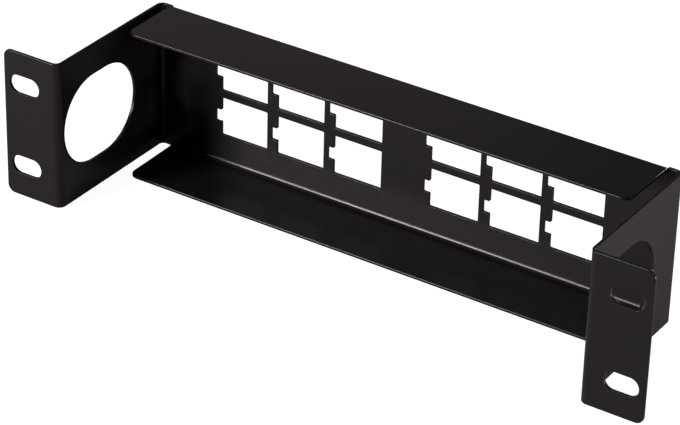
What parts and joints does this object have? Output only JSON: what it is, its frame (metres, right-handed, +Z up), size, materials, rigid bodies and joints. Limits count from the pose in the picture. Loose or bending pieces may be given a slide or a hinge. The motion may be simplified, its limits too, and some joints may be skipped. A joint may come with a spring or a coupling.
{
  "type": "keystone patch panel",
  "caption": "Recessed keystone patch panel for a small rack, folded from powder-coated sheet steel, with slotted ears, oblong cable holes, forward lips and rows of jack cut-outs.",
  "frame": {"origin": "centre of the bounding box's bottom face: under the middle of the panel, level with the underside of its lower lip", "axes": "+X across the rack to the right as seen from the front, -Y out of the front towards the person patching, +Z up"},
  "size_m": [0.254, 0.061, 0.0575],
  "materials": {
    "powder_coat": "satin"
  },
  "bodies": {
    "root": {"folded_panel": "powder_coat"}
  },
  "joints": []
}
